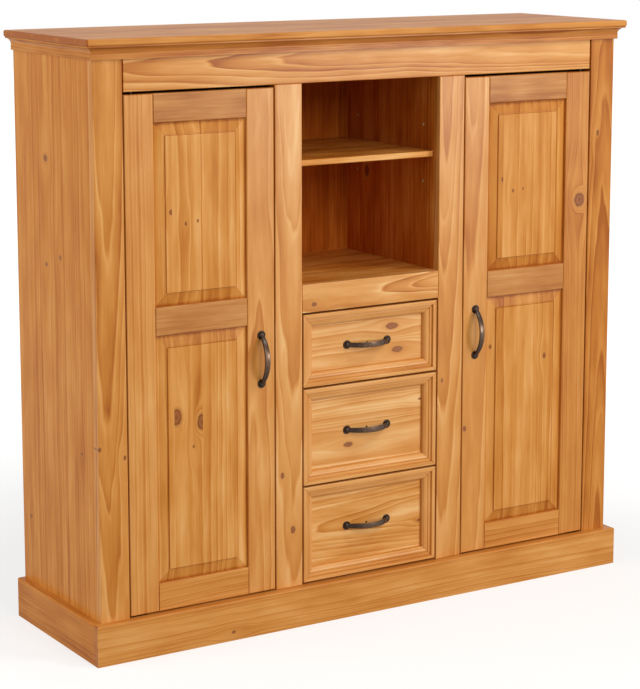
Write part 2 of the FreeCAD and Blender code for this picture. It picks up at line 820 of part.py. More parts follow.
# Doors with their fittings
pivots = [pivot_plate(rail_bottom, 1, door_top), pivot_plate(plinth_height, -1, door_bottom)]
save("door_pivot_plates", *pivots, *[mirrored(pivot) for pivot in pivots])
save("door_catches", door_catch(), mirrored(door_catch()))
save_pair("door_{side}_hinge_stile", door_hinge_stile())
save_pair("door_{side}_lock_stile", door_lock_stile())
save_pair("door_{side}_top_rail", door_rail(door_top - door_rail_height, False, True))
save_pair("door_{side}_middle_rail", door_rail(middle_rail_bottom, True, True))
save_pair("door_{side}_bottom_rail", door_rail(door_bottom, True, False))
save_pair("door_{side}_upper_panel", raised_panel(middle_rail_top, door_top - door_rail_height))
save_pair("door_{side}_lower_panel", raised_panel(door_bottom + door_rail_height, middle_rail_bottom))
save_pair("door_{side}_handle", *handle_at(Vector(handle_x, face, door_handle_z), False, door_thickness))
save_pair("door_{side}_fittings", pivot_bush(door_top, -1), pivot_bush(door_bottom, 1), door_strike())

# Drawers, from the lowest up, with their runners
runners = []
drawer_bottom_z = plinth_height + drawer_gap
for level, height in zip(("bottom", "middle", "top"), drawer_heights):
    name = "drawer_" + level
    save(name + "_front", drawer_front(drawer_bottom_z, height))
    save(name + "_moulding", *drawer_moulding(drawer_bottom_z, height))
    save(name + "_box", *drawer_box(drawer_bottom_z, height))
    save(name + "_base", drawer_bottom_plate(drawer_bottom_z, 0))
    handle_center = Vector(0, face + moulding_depth, drawer_bottom_z + height / 2)
    save(name + "_handle", *handle_at(handle_center, True, drawer_front_thickness))
    runner = drawer_runner(drawer_bottom_z, height)
    runners += [runner, mirrored(runner)]
    drawer_bottom_z += height + drawer_gap
save("drawer_runners", *runners)
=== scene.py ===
# %% [markdown]
# # A honey-stained pine highboard
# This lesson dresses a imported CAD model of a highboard: two framed doors, an open niche, three
# drawers, a cornice under the top and a plinth below. The carpentry is already right in the CAD, so
# its boards stay and get wood, and only what was cast, turned or hammered in is modelled anew.

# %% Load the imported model
import bmesh
import bpy
from math import asin, atan2, radians
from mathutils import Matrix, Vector


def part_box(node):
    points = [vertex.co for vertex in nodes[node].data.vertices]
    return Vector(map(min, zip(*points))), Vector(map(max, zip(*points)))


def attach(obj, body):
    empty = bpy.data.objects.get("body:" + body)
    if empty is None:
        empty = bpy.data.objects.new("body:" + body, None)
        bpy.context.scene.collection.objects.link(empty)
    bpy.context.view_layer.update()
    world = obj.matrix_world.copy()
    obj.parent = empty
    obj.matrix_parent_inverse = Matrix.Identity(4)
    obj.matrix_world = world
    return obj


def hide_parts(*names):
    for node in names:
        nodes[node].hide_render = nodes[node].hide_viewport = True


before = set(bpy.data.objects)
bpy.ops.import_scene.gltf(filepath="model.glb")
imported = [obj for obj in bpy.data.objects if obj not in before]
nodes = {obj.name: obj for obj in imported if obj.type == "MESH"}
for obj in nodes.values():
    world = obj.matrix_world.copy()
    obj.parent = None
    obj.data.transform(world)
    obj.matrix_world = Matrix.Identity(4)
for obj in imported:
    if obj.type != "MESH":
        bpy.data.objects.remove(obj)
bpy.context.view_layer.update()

mm = 0.001

# %% [markdown]
# ## The view
# The photograph was taken from the front left, a little above the top of the cabinet, with a long
# lens and the frame shifted down so that upright edges stay nearly upright. The camera gets the same
# place. Its tilt takes over part of the shift, so that other views stay in the frame as well.

# %% Camera
looks_down, looks_right = radians(9.397), radians(32.006)
camera_data = bpy.data.cameras.new("camera")
camera_data.sensor_width = 36
camera_data.lens = 112.625
camera_data.shift_y = -0.12
camera = bpy.data.objects.new("camera", camera_data)
camera.location = (-2.52304, -4.00123, 1.53812)
camera.rotation_euler = (radians(90) - looks_down, 0, -looks_right)
bpy.context.scene.collection.objects.link(camera)
bpy.context.scene.camera = camera
bpy.context.scene.view_settings.view_transform = "Standard"
print("camera", round(camera.location.length, 2), "m from the foot of the cabinet")

# %% [markdown]
# ## Helpers for materials
# A material is a small network of nodes. Wiring each by hand takes four lines, so one function adds a
# node, sets it, and fills its sockets with values or links. Colours are written as they look on
# screen, in hex, and one function turns them into the linear values that the renderer works with.

# %% Colours and nodes
def linear(code):
    """An sRGB hex colour as linear red, green, blue and full alpha."""
    parts = [int(code[i:i + 2], 16) / 255 for i in (1, 3, 5)]
    return [p / 12.92 if p <= 0.04045 else ((p + 0.055) / 1.055) ** 2.4 for p in parts] + [1.0]


def fill(tree, node, inputs):
    """Fills inputs, by name or number, with values or with links from nodes and sockets."""
    for key, value in inputs.items():
        if isinstance(value, bpy.types.Node):
            value = value.outputs[0]
        if isinstance(value, bpy.types.NodeSocket):
            tree.links.new(value, node.inputs[key])
        else:
            node.inputs[key].default_value = value


def add(tree, kind, inputs=None, stops=None, **settings):
    """Adds a shader node, sets it, fills its inputs and places the stops of its ramp."""
    node = tree.nodes.new("ShaderNode" + kind)
    for key, value in settings.items():
        setattr(node, key, value)
    fill(tree, node, inputs or {})
    for number, (place, colour) in enumerate(stops or []):
        ramp = node.color_ramp.elements
        stop = ramp[number] if number < 2 else ramp.new(place)
        stop.position, stop.color = place, linear(colour)
    return node


def new_material(name):
    """A new material, its network of nodes and its surface shader."""
    material = bpy.data.materials.new(name)
    material.use_nodes = True
    return material, material.node_tree, material.node_tree.nodes["Principled BSDF"]


print("#808080 is", round(linear("#808080")[0], 3), "in linear light")

# %% [markdown]
# ## Floor and light
# The photograph is a cut-out on white. A pale floor keeps the soft shadow that shows where the
# cabinet stands. A bright floor would light the wood from below, so Light Path lets the floor and the
# sky look white to the camera and in reflections without putting more light on the wood.

# %% Which rays see the background
def in_view(tree):
    """One for rays that the eye, a gloss or a glass sends out, zero for rays that only carry light."""
    path = add(tree, "LightPath")
    seen = path.outputs["Is Camera Ray"]
    for ray in ("Is Glossy Ray", "Is Transmission Ray"):
        seen = add(tree, "Math", {0: seen, 1: path.outputs[ray]}, operation="MAXIMUM")
    return seen


print("background for camera, glossy and transmission rays")

# %% Floor
# Matt paper shows the eye a shadow and no reflection, and it turns to plain white further out.
floor_size, fade_from, fade_to = 30, 0.8, 2.4
dim_glow, full_glow = 0.66, 0.95
bpy.ops.object.select_all(action="DESELECT")
bpy.ops.mesh.primitive_plane_add(size=floor_size)
floor = bpy.context.object
floor.name = "studio_floor"
paper, tree, surface = new_material("matt_white_paper")
here = add(tree, "TexCoord")
away = add(tree, "VectorMath", {0: here.outputs["Object"]}, operation="LENGTH")
fade = add(tree, "MapRange",
           {0: away.outputs["Value"], 1: fade_from, 2: fade_to, 3: dim_glow, 4: full_glow})
glow = add(tree, "Math", {0: in_view(tree), 1: fade}, operation="MULTIPLY")
fill(tree, surface, {"Base Color": linear("#a3a3a1"), "Roughness": 0.9, "Specular IOR Level": 0.1,
                     "Emission Color": linear("#ffffff"), "Emission Strength": glow})
floor.data.materials.append(paper)
print("floor", tuple(floor.dimensions))

# %% World: even grey light for surfaces, plain white for the eye
sky_light = 0.34
world = bpy.data.worlds.new("studio")
bpy.context.scene.world = world
world.use_nodes = True
tree = world.node_tree
level = add(tree, "MapRange", {0: in_view(tree), 3: sky_light, 4: 1.0})
fill(tree, tree.nodes["Background"], {"Color": linear("#ffffff"), "Strength": level})
print("sky light", sky_light)

# %% [markdown]
# ## Lamps
# Four soft boxes light the wood. The key stands in front. A low box on the right draws the sheen along
# stiles and rails, a high one glints on the handles and on slopes that face up, and a fill on the left
# keeps the side from going dull.

# %% Four soft boxes
lamp_aim = Vector((0, 0, 0.6))
for name, place, size, power in (("key_softbox", (0.1, -5.2, 3.2), 2.4, 120),
                                 ("sheen_softbox", (3.3, -5.2, 1.1), 1.3, 95),
                                 ("high_softbox", (1.95, -2.4, 4.2), 1.1, 50),
                                 ("fill_softbox", (-4.0, 0.5, 1.8), 2.6, 82)):
    lamp_data = bpy.data.lights.new(name, "AREA")
    lamp_data.size = size
    lamp_data.energy = power
    lamp = bpy.data.objects.new(name, lamp_data)
    lamp.location = place
    lamp.rotation_euler = (lamp_aim - lamp.location).to_track_quat("-Z", "Y").to_euler()
    bpy.context.scene.collection.objects.link(lamp)
    print(name, power, "W")

# %% [markdown]
# ## Stained pine
# The boards are solid pine, stained honey and sealed with a satin lacquer. Wood is not a picture on a
# surface: growth rings run through the board, and each face shows a cut through them. A picture wrapped
# round a board would break at every corner, so the pattern is built in space, in millimetres. The first
# helpers say where a point lies: along the grain, across it, or through the board.

# %% Where a point lies on its board
seam_edge, seam_reach, seam_shade = 0.3, 1.0, 0.45


def set_out(tree, board):
    """A board's middle in millimetres, and a point's place from it, its three axes and its normal."""
    low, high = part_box(board)
    middle = (low + high) / 2 / mm
    here = add(tree, "TexCoord")
    place = add(tree, "VectorMath", {0: here.outputs["Object"], 1: (1 / mm,) * 3, 2: -middle},
                operation="MULTIPLY_ADD")
    axes = add(tree, "SeparateXYZ", {0: place})
    normal = add(tree, "SeparateXYZ", {0: here.outputs["Normal"]})
    return middle, place, axes.outputs, normal.outputs


def grain_axes(axes, normal, lay):
    """The axes along, across and through the grain, and how squarely a face cuts the grain."""
    return [axes["xyz".index(letter)] for letter in lay] + [normal["xyz".index(lay[0])]]


def turn_grain(tree, first, second, distance, shade):
    """Grain that turns where the distance from a joint falls below zero, with a dark seam there."""
    beyond = add(tree, "Math", {0: distance, 1: 0.0}, operation="LESS_THAN")
    grain = [add(tree, "Mix", {0: beyond, 2: one, 3: other}).outputs[0]
             for one, other in zip(first, second)]
    seam = add(tree, "Math", {0: distance}, operation="ABSOLUTE")
    seam = add(tree, "MapRange", {0: seam, 1: seam_edge, 2: seam_reach, 3: seam_shade, 4: 0.0})
    return grain, add(tree, "Math", {0: seam, 1: shade}, operation="ADD")


print("a seam is drawn", seam_reach, "mm wide on either side, because a hairline would not show")

# %% [markdown]
# ## Knots
# A knot is the foot of a branch. Painted on, it would look like a stain, because on a real board the
# grain flows round it. So each knot pushes the grain aside, and a thick one also closes rings round
# itself. On a board that is glued up from staves, a knot ends at the edge of its stave.

# %% Grain that flows round each knot
# Margin, thin knot and ragged size are in millimetres, the reaches in radii of the knot.
sweep_length, sweep_margin, sweep_from, sweep_to, sweep_push = 3.0, 5.0, 0.4, 3.2, -0.92
thin_knot, closing, closed_from, closed_to = 5.0, 0.35, 0.7, 2.6
ragged_size, ragged_by = 8, 0.5
stave_apart = 9


def knot_distance(tree, flat, spot, length, width):
    """Distance from a knot, one at its edge, and out of reach on every other stave."""
    scale = (1 / length, 1 / width, stave_apart)
    away = add(tree, "VectorMath", {0: flat, 1: scale, 2: [-at * by for at, by in zip(spot, scale)]},
               operation="MULTIPLY_ADD")
    return add(tree, "VectorMath", {0: away}, operation="LENGTH").outputs["Value"]


def flow_round(tree, place, along, across, stave, knots, longer):
    """The grain pushed aside, the distance from the nearest knot, and the rings closed round knots.
    Each knot is (along, across, stave, radius)."""
    flat = add(tree, "CombineXYZ", {0: along, 1: across, 2: stave})
    ragged = add(tree, "TexNoise", {"Vector": place, "Scale": 1 / ragged_size, "Detail": 2.0})
    aside, nearest, closed = across, None, 0.0
    for *spot, radius in knots:
        wide = radius + sweep_margin
        away = knot_distance(tree, flat, spot, sweep_length * wide, wide)
        push = add(tree, "MapRange", {0: away, 1: sweep_from, 2: sweep_to, 3: sweep_push, 4: 0.0},
                   interpolation_type="SMOOTHSTEP")
        offset = add(tree, "Math", {0: across, 1: spot[1]}, operation="SUBTRACT")
        aside = add(tree, "Math", {0: offset, 1: push, 2: aside}, operation="MULTIPLY_ADD")
        away = knot_distance(tree, flat, spot, longer * radius, radius)
        tight = max(0.0, closing * (radius - thin_knot))
        tight = add(tree, "MapRange", {0: away, 1: closed_from, 2: closed_to, 3: tight, 4: 0.0},
                    interpolation_type="SMOOTHSTEP")
        closed = add(tree, "Math", {0: tight, 1: closed}, operation="ADD")
        away = add(tree, "Math", {0: ragged, 1: ragged_by, 2: away}, operation="MULTIPLY_ADD")
        away = add(tree, "Math", {0: away, 1: ragged_by / 2}, operation="SUBTRACT")
        if nearest:
            away = add(tree, "Math", {0: nearest, 1: away}, operation="MINIMUM")
        nearest = away
    return aside, nearest, closed


print("grain is pushed aside up to", sweep_to, "times a knot's radius and", sweep_margin, "mm")

# %% [markdown]
# ## Growth rings
# A tree adds a ring each year. The distance from its heart, divided by the width of a ring, counts the
# rings. A board sawn near the heart shows flames, and one sawn far from it shows straight lines. A wave
# texture would draw rings too, but all alike. Here noise that is stretched along the grain makes them
# wander, and good and bad years make them wide and narrow.

# %% Position in the log, with each stave cut from another place
wander_length, wander_width, wander_by = 560, 80, 24.0
seed_steps = (3.1, 1.7, 1.0)
stave_shift, stave_swing = (1300.0, 150.0, 70.0), 0.08


def in_the_log(tree, along, aside, through, lean, stave, seed, shade):
    """A point's position in the log, the same with wandering rings, and the shade of its stave."""
    leaning = add(tree, "Math", {0: along, 1: lean, 2: through}, operation="MULTIPLY_ADD")
    log = add(tree, "CombineXYZ", {0: along, 1: aside, 2: leaning})
    if stave:
        chance = add(tree, "TexWhiteNoise", {"W": stave}, noise_dimensions="1D")
        log = add(tree, "VectorMath", {0: chance.outputs["Color"], 1: stave_shift, 2: log},
                  operation="MULTIPLY_ADD")
        own = add(tree, "MapRange", {0: chance.outputs["Value"], 3: -stave_swing, 4: stave_swing})
        shade = add(tree, "Math", {0: own, 1: shade}, operation="ADD")
    stretch = add(tree, "VectorMath",
                  {0: log, 1: (1 / wander_length, 1 / wander_width, 1 / wander_width),
                   2: [seed * step for step in seed_steps]}, operation="MULTIPLY_ADD")
    wander = add(tree, "TexNoise", {"Vector": stretch, "Scale": 1.0, "Detail": 3.0})
    grown = add(tree, "VectorMath",
                {0: wander.outputs["Color"], 1: (0, wander_by, wander_by), 2: log}, operation="MULTIPLY_ADD")
    return log, grown, shade


print("rings wander by", wander_by, "mm over", wander_length, "mm")

# %% Rings counted from the heart
# Stain turns the rings round: soft early wood drinks it and darkens, hard late wood stays a pale line.
ring_shade = [(0.0, "#000000"), (0.14, "#9a9a9a"), (0.55, "#c8c8c8"), (0.86, "#ffffff"),
              (0.95, "#505050"), (1.0, "#000000")]
weak_line, strong_line = 0.12, 0.42
climate_pace, climate_swing = 0.33, 3.0


def ring_lines(tree, grown, heart, ring, closed, lines, seed, shade):
    """Adds the rings to the shade, each as strong as its year."""
    to_heart = [0] + [-place - wander_by / 2 for place in heart]
    spoke = add(tree, "VectorMath", {0: grown, 1: (0, 1, 1), 2: to_heart}, operation="MULTIPLY_ADD")
    reach = add(tree, "VectorMath", {0: spoke}, operation="LENGTH")
    years = add(tree, "Math", {0: reach.outputs["Value"], 1: 1 / ring}, operation="MULTIPLY")
    climate = add(tree, "Math", {0: years, 1: climate_pace, 2: seed}, operation="MULTIPLY_ADD")
    climate = add(tree, "TexNoise", {"W": climate, "Scale": 1.0, "Detail": 1.0}, noise_dimensions="1D")
    rings = add(tree, "Math", {0: climate, 1: climate_swing, 2: years}, operation="MULTIPLY_ADD")
    rings = add(tree, "Math", {0: rings, 1: closed}, operation="ADD")
    part = add(tree, "Math", {0: rings}, operation="FRACT")
    number = add(tree, "Math", {0: rings}, operation="FLOOR")
    vigour = add(tree, "TexWhiteNoise", {"W": number}, noise_dimensions="1D")
    vigour = add(tree, "MapRange", {0: vigour, 3: weak_line * lines, 4: strong_line * lines})
    early = add(tree, "ValToRGB", {0: part}, stops=ring_shade)
    return add(tree, "Math", {0: early.outputs["Color"], 1: vigour, 2: shade}, operation="MULTIPLY_ADD")


print("a ring goes through", len(ring_shade), "shades")

# %% Fibres, streaks and clouds of stain: length, width, strength
# A fibre is thinner than a hair and would not show, so fibres are drawn in bundles 2.8 mm wide.
fibres, streaks, clouds = (70, 2.8, 0.42), (700, 11, 0.5), (160, 40, 0.9)


def take_stain(tree, log, grown, contrast, seed, shade):
    """Adds three noises stretched along the grain to the shade, and returns the fibres as well."""
    noises = []
    for start, (length, width, swing) in ((log, fibres), (grown, streaks), (log, clouds)):
        drawn = add(tree, "VectorMath",
                    {0: start, 1: (1 / length, 1 / width, 1 / width), 2: (seed, 0, 0)},
                    operation="MULTIPLY_ADD")
        noises.append(add(tree, "TexNoise", {"Vector": drawn, "Scale": 1.0, "Detail": 2.0}))
        swing *= contrast
        shade = add(tree, "Math", {0: noises[-1], 1: swing, 2: shade}, operation="MULTIPLY_ADD")
        shade = add(tree, "Math", {0: shade, 1: swing / 2}, operation="SUBTRACT")
    return noises[0], shade


print("fibre bundles", fibres[1], "mm, streaks", streaks[1], "mm, clouds", clouds[1], "mm wide")

# %% [markdown]
# ## From shade to surface
# So far a point has only a shade, from dry and pale to soaked and dark. A ramp of honey browns gives it
# colour. Knots have a ramp of their own, and holes that were drilled after staining show raw wood. The
# lacquer gives a satin shine that follows the fibres.

# %% Knots and drilled holes
knot_wood = [(0.0, "#6a371c"), (0.14, "#884b2a"), (0.3, "#985833"), (0.42, "#7c421d"),
             (0.48, "#65300e"), (0.56, "#b5733a"), (0.75, "#d29452")]
knot_edge, knot_halo, knot_cover, ramp_end = 0.9, 1.9, 0.88, 2.0
raw_pine = "#f0dcb4"
bore_reach, bore_edge = 3.2, 0.6


def show_knots(tree, colour, nearest):
    """Lays the colours of knots over the wood, by the distance from the nearest knot."""
    depth = add(tree, "Math", {0: nearest, 1: 1 / ramp_end}, operation="MULTIPLY")
    knot = add(tree, "ValToRGB", {0: depth}, stops=knot_wood)
    edge = add(tree, "MapRange", {0: nearest, 1: knot_edge, 2: knot_halo, 3: knot_cover, 4: 0.0},
               interpolation_type="SMOOTHSTEP")
    return add(tree, "Mix", {0: edge, 6: colour, 7: knot.outputs["Color"]}, data_type="RGBA").outputs[2]


def show_holes(tree, colour, along, across, through, looking, holes):
    """Raw wood in holes of the face that looks up its axis, if looking is one, or down, if minus one."""
    flat = add(tree, "CombineXYZ", {0: along, 1: across})
    rim = bore_reach
    for hole in holes:
        away = add(tree, "VectorMath", {0: flat, 1: (*hole, 0)}, operation="DISTANCE").outputs["Value"]
        rim = add(tree, "Math", {0: rim, 1: away}, operation="MINIMUM")
    raw = add(tree, "MapRange", {0: rim, 1: bore_reach - bore_edge, 2: bore_reach, 3: 1.0, 4: 0.0})
    near = add(tree, "Math", {0: through, 1: looking}, operation="MULTIPLY")
    near = add(tree, "Math", {0: near, 1: 0.0}, operation="GREATER_THAN")
    raw = add(tree, "Math", {0: raw, 1: near}, operation="MULTIPLY")
    return add(tree, "Mix", {0: raw, 6: colour, 7: linear(raw_pine)}, data_type="RGBA").outputs[2]


print("drilled holes are raw", bore_reach, "mm round their middle")

# %% Wood for one board
# Stained pine gives the eye warm bands that run through corners, and a sheen broken by the fibres.
honey = [(0.0, "#eab878"), (0.25, "#dd9e58"), (0.5, "#cf8a40"), (0.75, "#be752d"), (1.0, "#a3581b")]
plain_shade, line_balance = 0.34, 0.135
end_from, end_to, end_shade = 0.04, 0.25, 0.42
faces_back = 0.5
lacquer_ior, fibre_relief, fibre_depth = 1.5, 0.25, 0.3 * mm


def pine(name, board, lay, ring=9.0, heart=(0.0, 45.0), lean=0.0, tone=0.0, contrast=1.0, lines=1.0,
         staves=0.0, knots=(), knot_length=1.5, drilled=None, seed=0.0, colours=honey, gloss=(0.2, 0.38),
         shine=0.15, turned=None, stained=None, rear=None):
    """Wood for one board. lay names the axes along, across and through the grain. heart is the tree's
    heart, across and through, from the board's middle. staves gives their width. knots are (along,
    across, radius) in the part's own millimetres, and knot_length says how much longer than wide they
    are. drilled is the way its face looks and its holes (along, across). turned gives a second lay and
    how far a point is from the joint where it begins. The next argument gives a shade to add: painted shade
    in the inner corners of panels and mouldings, and the paler lipping of the shelf. rear gives the colours
    of a raw back."""
    material, tree, surface = new_material(name)
    middle, place, axes, normal = set_out(tree, board)
    middle_along, middle_across = [middle["xyz".index(letter)] for letter in lay[:2]]
    grain = grain_axes(axes, normal, lay)
    shade = plain_shade + tone - line_balance * (lines - 1)
    if turned:
        other, distance = turned
        grain, shade = turn_grain(tree, grain, grain_axes(axes, normal, other), distance(tree, axes), shade)
    along, across, through, end_face = grain
    # Painted shade in the inner corners of panels and mouldings, and the paler lipping of the shelf.
    if stained:
        shade = add(tree, "Math", {0: stained(tree, axes), 1: shade}, operation="ADD")
    stave = 0.0
    if staves:
        stave = add(tree, "Math", {0: across, 1: 1 / staves, 2: seed}, operation="MULTIPLY_ADD")
        stave = add(tree, "Math", {0: stave}, operation="FLOOR")
    aside, nearest, closed = across, None, 0.0
    if knots:
        spots = [(knot_along - middle_along, knot_across - middle_across,
                  ((knot_across - middle_across) / staves + seed) // 1 if staves else 0, radius)
                 for knot_along, knot_across, radius in knots]
        aside, nearest, closed = flow_round(tree, place, along, across, stave, spots, knot_length)
    log, grown, shade = in_the_log(tree, along, aside, through, lean, stave, seed, shade)
    shade = ring_lines(tree, grown, heart, ring, closed, lines, seed, shade)
    fibre, shade = take_stain(tree, log, grown, contrast, seed, shade)

    # Cut ends drink more stain
    end = add(tree, "Math", {0: end_face}, operation="ABSOLUTE")
    end = add(tree, "MapRange", {0: end, 1: end_from, 2: end_to, 3: 0.0, 4: end_shade})
    shade = add(tree, "Math", {0: shade, 1: end}, operation="ADD")
    colour = add(tree, "ValToRGB", {0: shade}, stops=colours).outputs["Color"]
    if rear:
        behind = add(tree, "Math", {0: normal["Y"], 1: faces_back}, operation="GREATER_THAN")
        raw = add(tree, "ValToRGB", {0: shade}, stops=rear).outputs["Color"]
        colour = add(tree, "Mix", {0: behind, 6: colour, 7: raw}, data_type="RGBA").outputs[2]
    if nearest:
        colour = show_knots(tree, colour, nearest)
    if drilled:
        looking, holes = drilled
        holes = [(hole_along - middle_along, hole_across - middle_across)
                 for hole_along, hole_across in holes]
        colour = show_holes(tree, colour, along, across, through, looking, holes)
    rough = add(tree, "MapRange", {0: fibre, 3: gloss[0], 4: gloss[1]})
    relief = add(tree, "Bump", {"Strength": fibre_relief, "Distance": fibre_depth, "Height": fibre})
    fill(tree, surface, {"Base Color": colour, "Roughness": rough, "Normal": relief, "IOR": lacquer_ior,
                         "Specular IOR Level": shine})
    return material


def dress(board, material):
    """Puts a material on every slot of a CAD piece."""
    for slot in nodes[board].material_slots:
        slot.material = material


print("pine runs through", len(honey), "browns")

# %% [markdown]
# ## Wood for each board
# A joiner picks boards one by one. Stiles and door panels run upright, rails and drawer fronts run
# along, the top and the sides are glued up from staves. One material for all would be quicker, but then
# neighbours would match as no two boards do. So each board has a recipe, with its knots where this
# cabinet has them.

# %% Top, cornice and plinth
# Amber is the same stain gone deeper, so the sides look redder than the front; in the niche it also paints
# shade.
amber = [(0.0, "#e9b26e"), (0.25, "#db984c"), (0.5, "#cc8234"), (0.75, "#ba6d24"), (1.0, "#9f5216")]
boards = {
    "top_panel": dict(lay="xyz", ring=7, heart=(30, 60), staves=72, seed=2.0, contrast=0.9, tone=0.2,
                      gloss=(0.38, 0.52)),
    "cornice_front": dict(lay="xzy", ring=7, heart=(40, 20), seed=3.0, contrast=0.9, tone=0.3),
    "plinth_front": dict(lay="xzy", ring=6, heart=(-95, 50), seed=6.0, tone=-0.02, contrast=0.8,
                         knots=[(-358, 19, 3)]),
}
for side, cornice_seed, plinth_seed, plinth_heart in (("left", 4.0, 7.0, (-90, 40)),
                                                      ("right", 5.0, 8.0, (-80, 40))):
    boards["cornice_" + side] = dict(lay="yzx", ring=7, heart=(40, 20), seed=cornice_seed, contrast=0.9,
                                     tone=0.2, shine=0.06)
    boards["plinth_" + side] = dict(lay="yzx", ring=6, heart=plinth_heart, seed=plinth_seed, tone=0.12,
                                    contrast=0.8, shine=0.06, colours=amber)
print(len(boards), "boards above and below")

# %% Side panels
side_wood = dict(lay="zyx", ring=16, staves=98, tone=0.04, contrast=0.7, shine=0.06, colours=amber,
                 knot_length=0.8)
boards.update({
    "side_panel_left": dict(side_wood, heart=(20, 55), seed=9.4,
                            knots=[(1023, 51, 8), (800, 56, 5), (823, -14, 6), (427, -98, 4),
                                   (233, 160, 5)]),
    "side_panel_right": dict(side_wood, heart=(-30, 55), seed=10.3,
                             knots=[(610, -70, 8), (980, 60, 6), (260, 30, 5)]),
})
print(len(boards), "boards so far")

# %% Partitions, floor and shelves
# The walls and back of the niche take darker, redder browns, and its floor and shelf take amber: painted
# shade for the dim niche. The shelf's lipping took less stain.
niche_shade_browns = [(0.0, "#dc8e40"), (0.25, "#cd772a"), (0.5, "#bc631b"), (0.75, "#a75011"), (1.0, "#8a3b0a")]
free_holes = [(level, depth) for level in (936.8, 1062.8) for depth in (-113, 152)]
lipping_width, lipping_shade = 1.5, -0.3


def lipped(tree, axes):
    """Paler on the strip glued along the front edge of the niche's shelf."""
    low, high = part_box("niche_shelf")
    strip = (low - high).y / 2 / mm + lipping_width
    front = add(tree, "Math", {0: axes["Y"], 1: strip}, operation="LESS_THAN")
    return add(tree, "Math", {0: front, 1: lipping_shade}, operation="MULTIPLY")


shelf_wood = dict(lay="xyz", ring=9, staves=85)
boards.update({
    # The niche walls take the darker, redder browns as painted shade.
    "partition_left": dict(lay="zyx", ring=10, heart=(20, 55), staves=90, seed=11.2, tone=0.05,
                           contrast=1.6, colours=niche_shade_browns, shine=0.06, drilled=(1, free_holes)),
    "partition_right": dict(lay="zyx", ring=9, heart=(-60, 30), staves=90, seed=12.6, tone=-0.2,
                            contrast=1.5, colours=niche_shade_browns, shine=0.06, drilled=(-1, free_holes),
                            knots=[(937, 114, 8)]),
    "bottom_panel": dict(shelf_wood, heart=(30, 50), seed=13.5, tone=0.05),
    # The niche's floor and shelf take amber, redder than honey, as painted shade for the dim niche.
    "niche_floor": dict(shelf_wood, heart=(30, 50), seed=14.1, tone=0.02, shine=0.1, contrast=1.5,
                        colours=amber),
    "niche_shelf": dict(shelf_wood, heart=(-30, 50), seed=15.8, tone=0.12, shine=0.1, contrast=1.5,
                        colours=amber, stained=lipped),
    "bay_shelves": dict(shelf_wood, heart=(10, 60), seed=16.2, tone=0.05),
})
print(len(boards), "boards so far")

# %% Face frame
# The middle stiles and the niche rail are paler and the right stile darker, partly as painted light:
# brighter in the middle of the front, dimmer at its right.
stile_wood = dict(lay="zxy", ring=9, contrast=0.7)
boards.update({
    "frame_stile_left": dict(stile_wood, heart=(-8, 36), lean=0.03, seed=17.0, tone=0.02, shine=0.13,
                             lines=1.4, knots=[(452, -656, 3), (428, -600, 3)]),
    "frame_stile_right": dict(stile_wood, heart=(12, 30), lean=-0.04, seed=18.0, tone=0.26, shine=0.11,
                              lines=1.3, knots=[(1025, 617, 4)]),
    "centre_stile_left": dict(stile_wood, heart=(6, 34), lean=0.035, seed=19.0, tone=-0.13, shine=0.24,
                              lines=1.2, knots=[(337, -226, 4), (214, -200, 5)]),
    "centre_stile_right": dict(stile_wood, heart=(-12, 30), lean=0.04, seed=20.0, tone=-0.05, shine=0.24,
                               lines=1.4, knots=[(496, 188, 3)]),
    "frame_top_rail": dict(lay="xzy", ring=9, heart=(6, 30), lean=0.03, seed=21.0, lines=2.0,
                           contrast=0.7),
    "frame_bottom_rail": dict(lay="xzy", ring=9, heart=(6, 30), seed=22.0, tone=0.05),
    "niche_rail": dict(lay="xzy", ring=9, heart=(10, 34), lean=0.05, seed=23.0, tone=-0.1, shine=0.22,
                       lines=2.0, knots=[(-146, 701, 4)]),
})
print(len(boards), "boards so far")

# %% [markdown]
# ## Painted shade in the corners
# Inner corners are drawn darker, as painted shade: dark lines where the corners of the profile lie in
# shade. These lines make the raised panels and the mouldings readable from afar. Painting them by hand
# would tie them to one size, so they follow the distance from the edges of the piece.

# %% Lines of painted shade at a distance from the edges
# Each line of painted shade: how far in from the edges, how wide and how strong.
panel_corners = [(10.0, 7.0, 0.36), (35.2, 2.6, 0.1)]
full_shade_within = 0.4


def from_edges(board, tree, axes):
    """How far a point lies in from the upright edges of a piece, and from the level ones."""
    low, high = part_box(board)
    half = (high - low) / 2 / mm
    distances = []
    for letter, size in (("X", half.x), ("Z", half.z)):
        middle = add(tree, "Math", {0: axes[letter]}, operation="ABSOLUTE")
        distances.append(add(tree, "Math", {0: size, 1: middle}, operation="SUBTRACT"))
    return dict(enumerate(distances))


def painted_corner_shade(board, corners):
    """Painted shade: dark lines, each so far in from the edges, so wide and so strong. The real dark lines
    in the corners are thinner than these and would not show."""
    def corner_shade(tree, axes):
        inwards = add(tree, "Math", from_edges(board, tree, axes), operation="MINIMUM")
        dark = 0.0
        for corner, width, strength in corners:
            line = add(tree, "Math", {0: inwards, 1: corner}, operation="SUBTRACT")
            line = add(tree, "Math", {0: line}, operation="ABSOLUTE")
            line = add(tree, "MapRange", {0: line, 1: full_shade_within, 2: width, 3: strength, 4: 0.0})
            dark = add(tree, "Math", {0: dark, 1: line}, operation="ADD")
        return dark
    return corner_shade


# The panels' dark lines are painted shade.
print("panels are stained darker", [corner[0] for corner in panel_corners], "mm in from their edges")

